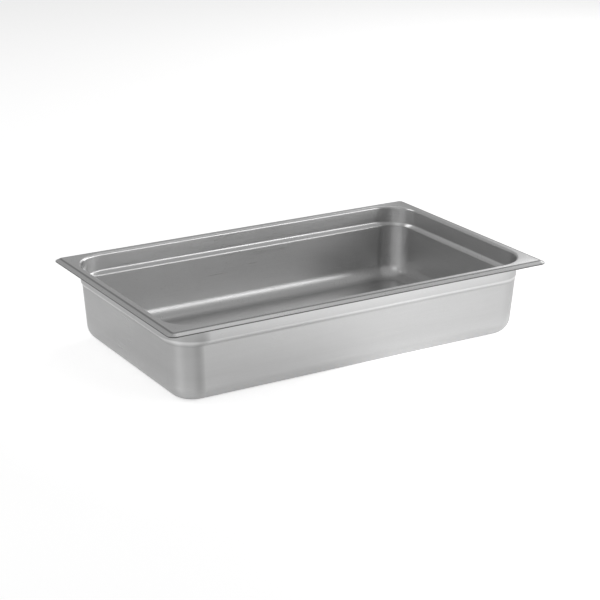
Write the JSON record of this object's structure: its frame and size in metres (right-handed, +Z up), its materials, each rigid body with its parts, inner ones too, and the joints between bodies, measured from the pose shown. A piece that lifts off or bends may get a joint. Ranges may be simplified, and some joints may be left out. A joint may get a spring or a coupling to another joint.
{
  "type": "food pan",
  "caption": "Deep rectangular food pan drawn from one sheet of satin stainless steel, with a stacking shoulder, rounded floor, flat rim and hemmed turned-down edge.",
  "frame": {"origin": "middle of the underside of the floor, where the pan stands", "axes": "+X along the pan's length, +Y along its width, +Z up out of the mouth"},
  "size_m": [0.53, 0.325, 0.1],
  "materials": {
    "stainless": "satin"
  },
  "bodies": {
    "root": {"pan": "stainless"}
  },
  "joints": []
}
